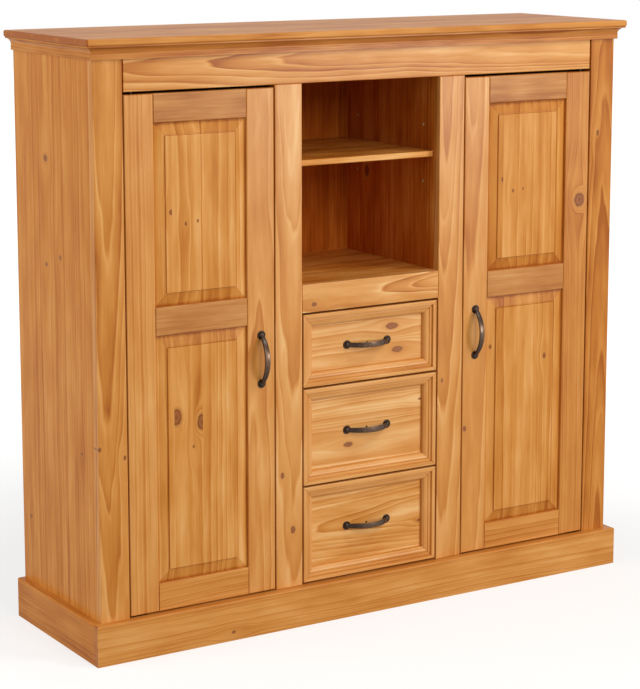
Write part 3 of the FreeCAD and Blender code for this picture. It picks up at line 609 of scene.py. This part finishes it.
# %% Door frames
# Tan gives the upper rails the duller look of boards that took the stain badly.
tan = [(0.0, "#d8a669"), (0.3, "#ca8e4f"), (0.6, "#bd7c3f"), (1.0, "#a2612a")]
rail_wood = dict(lay="xzy", ring=5, heart=(-90, 40), contrast=1.6, lines=0.4, colours=tan)
# The right door's stiles are darker than the left's, partly as painted shade for the dimmer right of the
# front.
for side, sign, seed, hinge_knots, lock_knots in (("left", -1, 30.0, [], []),
                                                  ("right", 1, 40.0, [(874, 567, 13)], [(378, 251, 4)])):
    door = f"door_{side}_"
    boards.update({
        door + "hinge_stile": dict(lay="zxy", ring=6, heart=(-90, 30), seed=seed, tone=0.08 + 0.1 * sign,
                                   contrast=0.7, shine=0.2, knots=hinge_knots, knot_length=1.1),
        door + "lock_stile": dict(lay="zxy", ring=10, heart=(-14, 40), lean=0.03 * sign, seed=seed + 1,
                                  tone=-0.03 + 0.02 * sign, shine=0.24, lines=1.2, contrast=0.7,
                                  knots=lock_knots),
        door + "top_rail": dict(rail_wood, seed=seed + 2, tone=0.1),
        door + "middle_rail": dict(rail_wood, seed=seed + 3, tone=0.05),
        door + "bottom_rail": dict(lay="xzy", ring=6, heart=(-60, 50), seed=seed + 4, tone=0.06,
                                   contrast=0.6),
    })
print(len(boards), "boards so far")

# %% Door panels
panel_wood = dict(lay="zxy", ring=19, staves=67, shine=0.08)
panels = {
    "door_left_upper_panel": dict(heart=(30, 60), seed=50.0, tone=-0.06, contrast=0.8,
                                  knots=[(898, -453, 2.5), (902, -425, 2), (924, -487, 3.5)]),
    "door_left_lower_panel": dict(heart=(20, 60), seed=51.0, tone=-0.04, contrast=0.9,
                                  knots=[(497, -479, 10.5), (480, -419, 10.5), (430, -440, 2)]),
    "door_right_upper_panel": dict(heart=(30, 60), seed=52.0, tone=0.06, contrast=0.8,
                                   knots=[(908, 378, 2.5), (911, 406, 2), (935, 349, 3.5)]),
    "door_right_lower_panel": dict(heart=(20, 60), seed=53.0, contrast=0.9,
                                   knots=[(557, 323, 3), (521, 474, 4)]),
}
# Each panel gets painted shade in its inner corners.
for board, recipe in panels.items():
    boards[board] = dict(panel_wood, stained=painted_corner_shade(board, panel_corners), **recipe)
print(len(boards), "boards so far")

# %% Drawer fronts, and every recipe put on its board
# The drawer fronts are paler partly as painted light, for the brighter middle of the front.
front_wood = dict(lay="xzy", knot_length=2.1)
boards.update({
    "drawer_top_front": dict(front_wood, ring=8, heart=(-40, 40), seed=60.0, tone=-0.24, contrast=0.8,
                             shine=0.25, lines=1.5, knots=[(65, 630, 6.5), (80, 576, 6)]),
    "drawer_middle_front": dict(front_wood, ring=8, heart=(-35, 35), seed=61.0, tone=-0.24, contrast=0.8,
                                shine=0.25, lines=1.5, knots=[(-48, 378, 5), (141, 457, 2)]),
    "drawer_bottom_front": dict(front_wood, ring=10, heart=(10, 40), lean=0.05, seed=62.0, tone=-0.14,
                                lines=1.4, knots=[(141, 179, 2.5)]),
})
for board, recipe in boards.items():
    dress(board, pine("stained_pine_" + board, board, **recipe))
print(len(boards), "boards dressed")

# %% [markdown]
# ## Mitred mouldings
# Each drawer front carries four strips with mitred corners. The strips are one CAD piece, so the
# material itself finds out which strip it is on: a point nearer to an upright edge lies on an upright
# strip. The grain then turns at the mitre, as it does on the real corner. Painted shade darkens the inner
# corners of the profile, which draws the dark lines round each drawer.

# %% Moulding strips
drawers = ("drawer_top", "drawer_middle", "drawer_bottom")
# The quirk lines are painted shade, drawn dark in the profile's inner corners.
quirks, quirk_width, quirk_shade = (10.0, 16.5, 29.0), 1.6, 0.16
for number, drawer in enumerate(drawers):
    board = drawer + "_moulding"

    def past_mitre(tree, axes, board=board):
        return add(tree, "Math", from_edges(board, tree, axes), operation="SUBTRACT")

    corners = [(quirk, quirk_width, quirk_shade) for quirk in quirks]
    dress(board, pine("stained_pine_" + board, board, "xzy", ring=6, heart=(-30, 60), tone=-0.1,
                      contrast=0.7, shine=0.26, seed=70.0 + number, turned=("zxy", past_mitre),
                      stained=painted_corner_shade(board, corners)))
print("mouldings dressed, darker", quirks, "mm in from their edges")

# %% [markdown]
# ## Inside: bare pine, plywood and beech
# What shows only when a drawer is open was never stained. The drawer boxes are sanded pine, the drawer
# bottoms and the back are veneered plywood, the runners are waxed beech. All of them are wood, so they
# take the same function with paler ramps. The back is stained on its inner face alone, in the niche's
# darker browns that paint its shade.

# %% Drawer boxes and bottoms
# Sanded pine and veneer that were never stained look pale and dry beside the fronts.
bare = [(0.0, "#f0dcb4"), (0.4, "#e6c893"), (0.7, "#d8b077"), (1.0, "#bd8a4e")]
veneer = [(0.0, "#e5c591"), (0.5, "#d3a96d"), (1.0, "#b48549")]
box_back = 12
for number, drawer in enumerate(drawers):
    board = drawer + "_box"
    low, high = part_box(board)
    back_joint = (high - low).y / 2 / mm - box_back

    def past_side(tree, axes, back_joint=back_joint):
        return add(tree, "Math", {0: back_joint, 1: axes["Y"]}, operation="SUBTRACT")

    dress(board, pine("sanded_pine_" + board, board, "yzx", ring=7, heart=(-40, 50), contrast=0.8,
                      seed=80.0 + number, colours=bare, turned=("xzy", past_side)))
    dress(drawer + "_base", pine("veneered_plywood_" + drawer, drawer + "_base", "yxz", ring=9,
                                 heart=(20, 90), contrast=0.7, seed=85.0 + number, colours=veneer))
print(len(drawers), "drawers dressed inside")

# %% Back and runners
# Raw plywood looks like an even brown sheet with long streaks, waxed beech pinkish and close-grained.
plywood = [(0.0, "#f0cd9c"), (0.5, "#dfb47d"), (1.0, "#c4935c")]
beech = [(0.0, "#ddb48a"), (0.5, "#cf9f72"), (1.0, "#b98555")]
# Its inner face takes the niche's darker browns as painted shade.
dress("back_panel", pine("veneered_plywood_back", "back_panel", "zxy", ring=14, heart=(60, 140),
                         tone=0.08, contrast=1.3, seed=90.0, colours=niche_shade_browns, rear=plywood))
dress("drawer_runners", pine("waxed_beech_runners", "drawer_runners", "yzx", ring=3, heart=(-60, 40),
                             contrast=0.4, seed=91.0, colours=beech))
print("back and runners dressed")

# %% [markdown]
# ## Steel and plastic
# Shelf pins are zinc-plated steel, pivots and strike plates are blued steel, and the magnetic catches
# sit in brown plastic. A plain colour would look like paint, so one noise varies tint, gloss and relief
# together.

# %% Small fittings
# Zinc plate is grey with a soft, cloudy sheen, blued steel is nearly black and dull, and moulded plastic
# has a fine even grain.
rough_less, rough_more, spot_relief, spot_depth = 0.06, 0.1, 0.2, 0.1 * mm
dark_spot, pale_spot = 0.3, 0.7
blued = ("door_pivot_plates", "door_left_fittings", "door_right_fittings")
for name, pieces, dark, pale, metal, rough, spot in (
        ("zinc_plated_steel", ("shelf_pins",), "#8f918f", "#c4c6c4", 1.0, 0.34, 2.5 * mm),
        ("blued_steel", blued, "#2a2624", "#453f3a", 1.0, 0.5, 2.5 * mm),
        ("moulded_brown_plastic", ("door_catches",), "#3b2414", "#4d311d", 0.0, 0.45, 1.2 * mm)):
    material, tree, surface = new_material(name)
    here = add(tree, "TexCoord")
    spots = add(tree, "TexNoise", {"Vector": here.outputs["Object"], "Scale": 1 / spot, "Detail": 3.0})
    tint = add(tree, "ValToRGB", {0: spots}, stops=[(dark_spot, dark), (pale_spot, pale)])
    wear = add(tree, "MapRange", {0: spots, 3: rough - rough_less, 4: rough + rough_more})
    grain = add(tree, "Bump", {"Strength": spot_relief, "Distance": spot_depth, "Height": spots})
    fill(tree, surface, {"Base Color": tint, "Roughness": wear, "Normal": grain, "Metallic": metal})
    for piece in pieces:
        dress(piece, material)
    print(name, "on", len(pieces), "pieces")

# %% [markdown]
# ## Bow handles
# The handles are cast zinc with a dark bronze finish: a flat bow between two round rosettes. The bow's
# section is drawn once, its corners are rounded, and a spin carries it along the arc. A curve with a
# bevel would do as well, but the spin leaves rings of points, and each ring can be narrowed towards the
# ends one by one. The handle is modelled standing upright at the origin, against a wall at y = 0.

# %% Selecting in code
def pick(test, kind="FACE"):
    """Selects the faces, edges or vertices of the piece being edited that pass the test."""
    bpy.ops.mesh.select_mode(type=kind)
    bpy.ops.mesh.select_all(action="DESELECT")
    mesh = bmesh.from_edit_mesh(bpy.context.object.data)
    parts = {"FACE": mesh.faces, "EDGE": mesh.edges, "VERT": mesh.verts}[kind]
    chosen = [part for part in parts if test(part)]
    for part in chosen:
        part.select_set(True)
    bmesh.update_edit_mesh(bpy.context.object.data)
    return len(chosen)


def choose(piece):
    """Makes one object the only selected one, and the active one."""
    bpy.ops.object.select_all(action="DESELECT")
    piece.select_set(True)
    bpy.context.view_layer.objects.active = piece


def settle():
    """Moves the place, turn and scale of the selected objects into their meshes."""
    bpy.ops.object.transform_apply(location=True, rotation=True, scale=True)


def start_editing():
    """Opens a new primitive in edit mode."""
    settle()
    bpy.ops.object.mode_set(mode="EDIT")


def stop_editing(name):
    """Closes edit mode, names the piece and returns it."""
    bpy.ops.object.mode_set(mode="OBJECT")
    bpy.context.object.name = name
    return bpy.context.object


print("helpers ready")

# %% The bow
half_span = 52 * mm
bow_middle, bow_foot = 26.75 * mm, 2.2 * mm
bow_width, bow_end_width, bow_thickness, bow_corner = 12.4 * mm, 9 * mm, 4.5 * mm, 1.5 * mm
rise = bow_middle - bow_foot
arc_radius = (half_span ** 2 + rise ** 2) / (2 * rise)
arc_centre = (0, arc_radius - bow_middle, 0)
half_turn = asin(half_span / arc_radius)
bow_steps = 32
bpy.ops.object.select_all(action="DESELECT")
bpy.ops.mesh.primitive_plane_add(size=1)
start_editing()
bpy.ops.transform.resize(value=(bow_width, bow_thickness, 1))
bpy.ops.mesh.bevel(offset=bow_corner, segments=4, affect="VERTICES")
bpy.ops.transform.translate(value=(0, -bow_middle, 0))
bpy.ops.transform.rotate(value=-half_turn, orient_axis="X", center_override=arc_centre)
bpy.ops.mesh.spin(steps=bow_steps, angle=2 * half_turn, center=arc_centre, axis=(1, 0, 0))
bow_tips = [v.co.z for v in bmesh.from_edit_mesh(bpy.context.object.data).verts]
print("bow from", round(min(bow_tips) / mm, 1), "to", round(max(bow_tips) / mm, 1), "mm")

# %% Narrow the bow towards its ends
weld = 0.01 * mm
for ring in range(bow_steps + 1):
    turn = half_turn * (2 * ring / bow_steps - 1)
    waist = 1 - (1 - bow_end_width / bow_width) * (turn / half_turn) ** 2
    found = pick(lambda v: abs(atan2(v.co.z, arc_centre[1] - v.co.y) - turn) < half_turn / bow_steps,
                 "VERT")
    bpy.ops.transform.resize(value=(waist, 1, 1), center_override=(0, 0, 0))
bpy.ops.mesh.select_all(action="SELECT")
bpy.ops.mesh.remove_doubles(threshold=weld)
bpy.ops.mesh.normals_make_consistent(inside=False)
bow = stop_editing("bow")
print("bow", [round(v / mm, 1) for v in bow.dimensions], "mm,", found, "points a ring")

# %% A rosette, from a disc by inset after inset: inwards and outwards in millimetres
rosette_radius, rosette_base, faces_out = 9.5 * mm, 1.5 * mm, -0.9
rosette_steps = [(0.7, 0.7), (1.0, 0.0), (0.4, -0.5), (0.7, 0.0), (0.5, 0.9), (0.5, 1.9), (0.5, 0.9),
                 (1.1, 0.7), (1.6, 0.3)]
bpy.ops.object.select_all(action="DESELECT")
bpy.ops.mesh.primitive_cylinder_add(vertices=48, radius=rosette_radius, depth=rosette_base,
                                    rotation=(radians(90), 0, 0), location=(0, -rosette_base / 2, half_span))
start_editing()
pick(lambda f: f.normal.y < faces_out)
for inwards, outwards in rosette_steps:
    bpy.ops.mesh.inset(thickness=inwards * mm)
    bpy.ops.transform.translate(value=(0, -outwards * mm, 0))
rosette = stop_editing("rosette")
print("rosette", [round(v / mm, 1) for v in rosette.dimensions], "mm")

# %% Second rosette, then one casting
cast_edge, crease = 0.25 * mm, radians(40)
bpy.ops.object.duplicate(linked=False)
bpy.ops.transform.translate(value=(0, 0, -2 * half_span))
settle()
rosette.select_set(True)
bpy.context.view_layer.objects.active = rosette
bpy.ops.object.join()
rosettes = bpy.context.object
choose(bow)
union = bow.modifiers.new("cast_in_one", "BOOLEAN")
union.operation, union.object, union.solver = "UNION", rosettes, "EXACT"
bpy.ops.object.modifier_apply(modifier=union.name)
soft = bow.modifiers.new("cast_edges", "BEVEL")
soft.width, soft.segments, soft.limit_method, soft.angle_limit = cast_edge, 2, "ANGLE", crease
bpy.ops.object.modifier_apply(modifier=soft.name)
bpy.ops.object.shade_smooth_by_angle(angle=crease)
bpy.data.objects.remove(rosettes)
print("casting of", len(bow.data.polygons), "faces")

# %% [markdown]
# ## Handle screws
# Open a door or a drawer and two screw heads show behind each handle. A head is a disc with a rounded
# rim and a cross for the driver. Insets could draw the cross, but two blades that are cut out of the
# head give cleaner walls. The screw is made behind a wall of no thickness and moved out to its place.

# %% A screw head with a cross recess
screw_radius, screw_height, screw_dome = 4 * mm, 2.4 * mm, 1.3 * mm
cross_length, cross_width, cross_depth = 4.4 * mm, 0.9 * mm, 2.6 * mm
screw_top = (0, screw_height, half_span)
bpy.ops.object.select_all(action="DESELECT")
bpy.ops.mesh.primitive_cylinder_add(vertices=32, radius=screw_radius, depth=screw_height,
                                    rotation=(radians(90), 0, 0), location=(0, screw_height / 2, half_span))
start_editing()
pick(lambda e: all(v.co.y > screw_height - weld for v in e.verts), "EDGE")
bpy.ops.mesh.bevel(offset=screw_dome, segments=4)
screw = stop_editing("screw")
for length, width in ((cross_length, cross_width), (cross_width, cross_length)):
    bpy.ops.object.select_all(action="DESELECT")
    bpy.ops.mesh.primitive_cube_add(size=1, location=screw_top)
    start_editing()
    bpy.ops.transform.resize(value=(length, cross_depth, width), center_override=screw_top)
    blade = stop_editing("blade")
    choose(screw)
    recess = screw.modifiers.new("recess", "BOOLEAN")
    recess.operation, recess.object, recess.solver = "DIFFERENCE", blade, "EXACT"
    bpy.ops.object.modifier_apply(modifier=recess.name)
    bpy.data.objects.remove(blade)
bpy.ops.object.shade_smooth_by_angle(angle=crease)
print("screw head of", len(screw.data.polygons), "faces")

# %% [markdown]
# ## Antique bronze
# The finish is a dark brown patina over metal, under a thin clear lacquer. Hands rub the patina off
# where the bow stands out furthest, so there the metal shows paler and smoother. That paler colour is
# partly a painted highlight on the bow as well. The rubbing could be painted, but it follows from how far
# a point stands out from the door.

# %% Patina
# Dark in the hollows, brown and paler out on the bow, where the metal is worn and a highlight is partly
# painted, with one clear glint from the lacquer.
bronze = [(0.15, "#261910"), (0.42, "#3a291b"), (0.66, "#553f2e"), (0.9, "#7f695a")]
cloud_size, cloud_swing = 4, 0.55
rub_highlight_from, rub_highlight_to, rub_highlight_most = -17.0, -30.0, 0.42
dull, bright = 0.44, 0.24
pit_relief, pit_depth = 0.25, 0.15 * mm


def patina(name, centre):
    """Bronze for the handle whose foot has its centre here."""
    material, tree, surface = new_material(name)
    here = add(tree, "TexCoord")
    place = add(tree, "VectorMath", {0: here.outputs["Object"], 1: (1 / mm,) * 3, 2: -centre / mm},
                operation="MULTIPLY_ADD")
    axes = add(tree, "SeparateXYZ", {0: place})
    cloud = add(tree, "TexNoise", {"Vector": place, "Scale": 1 / cloud_size, "Detail": 4.0})
    # Paler where the bow stands out: worn metal, and partly a painted highlight.
    rubbed_and_highlight = add(tree, "MapRange",
                 {0: axes.outputs["Y"], 1: rub_highlight_from, 2: rub_highlight_to, 3: 0.0, 4: rub_highlight_most})
    rubbed_and_highlight = add(tree, "Math", {0: cloud, 1: cloud_swing, 2: rubbed_and_highlight}, operation="MULTIPLY_ADD")
    tint = add(tree, "ValToRGB", {0: rubbed_and_highlight}, stops=bronze)
    wear = add(tree, "MapRange", {0: rubbed_and_highlight, 3: dull, 4: bright})
    pits = add(tree, "Bump", {"Strength": pit_relief, "Distance": pit_depth, "Height": cloud})
    fill(tree, surface, {"Base Color": tint, "Roughness": wear, "Normal": pits, "Metallic": 0.9,
                         "Coat Weight": 0.3, "Coat Roughness": 0.2})
    return material


print("patina in", len(bronze), "browns")

# %% One handle and two screws for each door and drawer
steel = bpy.data.materials["zinc_plated_steel"]
carriers = {"door_left": "lock_stile", "door_right": "lock_stile"}
carriers.update({drawer: "front" for drawer in drawers})
for body, carrier in carriers.items():
    node = body + "_handle"
    low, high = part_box(node)
    lies_along = (high - low).x > (high - low).z
    face = low.y + bow_middle + bow_thickness / 2
    inner_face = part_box(f"{body}_{carrier}")[1].y
    centre = Vector(((low.x + high.x) / 2, face, (low.z + high.z) / 2))
    for pattern, name, depth in ((bow, "bow_handle_", 0.0), (screw, "handle_screws_", inner_face - face)):
        choose(pattern)
        bpy.ops.object.duplicate(linked=False)
        piece = bpy.context.object
        if pattern is screw:
            bpy.ops.object.duplicate(linked=False)
            bpy.ops.transform.translate(value=(0, 0, -2 * half_span))
            settle()
            piece.select_set(True)
            bpy.context.view_layer.objects.active = piece
            bpy.ops.object.join()
        if lies_along:
            bpy.ops.transform.rotate(value=radians(90), orient_axis="Y", center_override=(0, 0, 0))
        bpy.ops.transform.translate(value=centre + Vector((0, depth, 0)))
        settle()
        piece.name = name + body
        piece.data.materials.clear()
        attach(piece, body)
        if pattern is bow:
            piece.data.materials.append(patina("antique_bronze_" + body, centre))
            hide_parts(node)
        else:
            piece.data.materials.append(steel)
    print(node, "at", [round(v / mm) for v in centre], "mm, screws", round(depth / mm, 2), "mm behind")
bpy.data.objects.remove(bow)
bpy.data.objects.remove(screw)

# %% [markdown]
# ## Nails in the back
# The back is a thin sheet, nailed into its rebate and to the two partitions. A nail's head is a low disc
# with a rounded rim. An array modifier could repeat it, but the lines differ in number and direction, so
# it is shaped once and then copied along each line of nails.

# %% One nail head
rear_low, rear_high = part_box("back_panel")
nail_radius, nail_height, nail_rim, nail_stands_out = 2.6 * mm, 0.9 * mm, 0.45 * mm, 0.7 * mm
nail_top = rear_high.y + nail_stands_out
bpy.ops.object.select_all(action="DESELECT")
bpy.ops.mesh.primitive_cylinder_add(vertices=16, radius=nail_radius, depth=nail_height,
                                    rotation=(radians(90), 0, 0),
                                    location=(0, nail_top - nail_height / 2, 0))
start_editing()
pick(lambda e: all(v.co.y > nail_top - nail_rim / 2 for v in e.verts), "EDGE")
bpy.ops.mesh.bevel(offset=nail_rim, segments=2)
nail = stop_editing("nail")
bpy.ops.object.shade_smooth_by_angle(angle=crease)
print("nail head of", len(nail.data.polygons), "faces")

# %% Lines of nails round the edge and along the partitions
nail_inset, nails_across, nails_up = 6 * mm, 9, 8
rows = [rear_low.z + nail_inset, rear_high.z - nail_inset]
columns = [rear_low.x + nail_inset, rear_high.x - nail_inset]
columns += [sum(corner.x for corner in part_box(f"partition_{side}")) / 2 for side in ("left", "right")]
spots = {(columns[0] + (columns[1] - columns[0]) * step / nails_across, row)
         for row in rows for step in range(nails_across + 1)}
spots |= {(column, rows[0] + (rows[1] - rows[0]) * (step + 1) / (nails_up + 1))
          for column in columns for step in range(nails_up)}
copies = []
for x, z in sorted(spots):
    choose(nail)
    bpy.ops.object.duplicate(linked=False)
    bpy.ops.transform.translate(value=(x, 0, z))
    copies.append(bpy.context.object)
for copy in copies:
    copy.select_set(True)
bpy.ops.object.join()
settle()
nails = bpy.context.object
nails.name = "back_panel_nails"
nails.data.materials.clear()
nails.data.materials.append(steel)
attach(nails, "carcass")
bpy.data.objects.remove(nail)
print(len(copies), "nails in the back")
